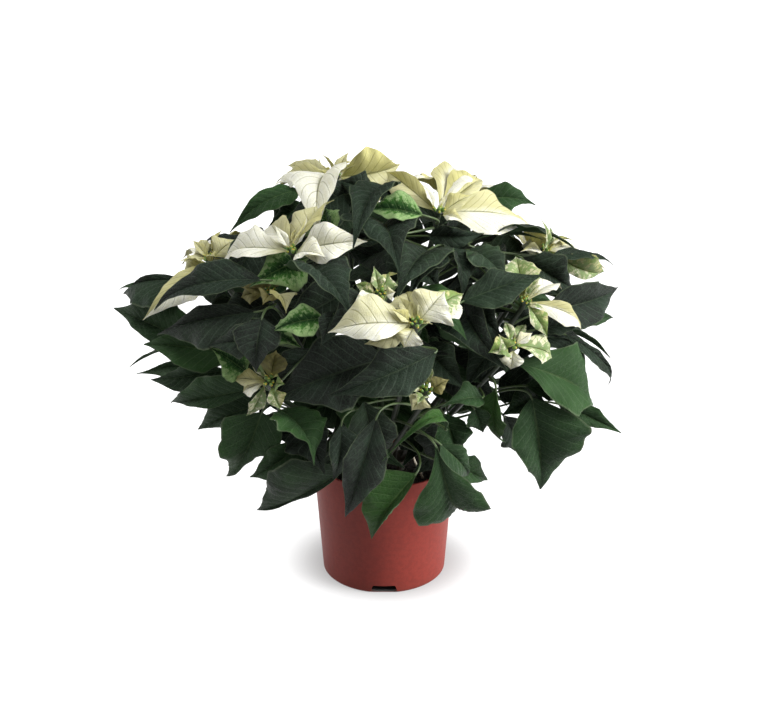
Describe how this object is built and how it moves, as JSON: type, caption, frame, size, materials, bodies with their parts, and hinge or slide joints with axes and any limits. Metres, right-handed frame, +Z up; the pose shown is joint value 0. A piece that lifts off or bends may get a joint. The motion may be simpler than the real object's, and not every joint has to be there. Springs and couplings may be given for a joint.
{
  "type": "potted poinsettia",
  "caption": "White poinsettia in a plain round tapered plastic nursery pot: a broad mound of dark green pointed leaves topped by cream blooms.",
  "frame": {"origin": "centre of the pot's flat underside, on the surface that it stands on", "axes": "+Z up along the pot's axis; -Y towards the side that the picture shows; +X to that viewer's right"},
  "size_m": [0.4646, 0.4493, 0.408],
  "materials": {
    "leaf": "satin",
    "bract": "matte",
    "bud": "satin",
    "bare_stalk": "matte",
    "pot": "satin",
    "soil": "matte"
  },
  "bodies": {
    "root": {"bare_stalk": "bare_stalk", "bloom_01": "bract", "bloom_02": "bract", "bloom_03": "bract", "bloom_04": "bract", "bloom_05": "bract", "bloom_06": "bract", "bloom_07": "bract", "bloom_08": "bract", "bloom_09": "bract", "bloom_10": "bract", "bloom_11": "bract", "bloom_12": "bract", "bloom_13": "bract", "bloom_14": "bract", "bloom_15": "bract", "bloom_16": "bract", "bloom_17": "bract", "buds_01": "bud", "buds_02": "bud", "buds_03": "bud", "buds_04": "bud", "buds_05": "bud", "buds_06": "bud", "buds_07": "bud", "buds_08": "bud", "buds_09": "bud", "buds_10": "bud", "buds_11": "bud", "buds_12": "bud", "buds_13": "bud", "buds_14": "bud", "buds_15": "bud", "buds_16": "bud", "buds_17": "bud", "leafy_stem_1": "leaf", "leafy_stem_2": "leaf", "leafy_stem_3": "leaf", "leafy_stem_4": "leaf", "leafy_stem_5": "leaf", "pot": "pot", "soil": "soil"}
  },
  "joints": []
}
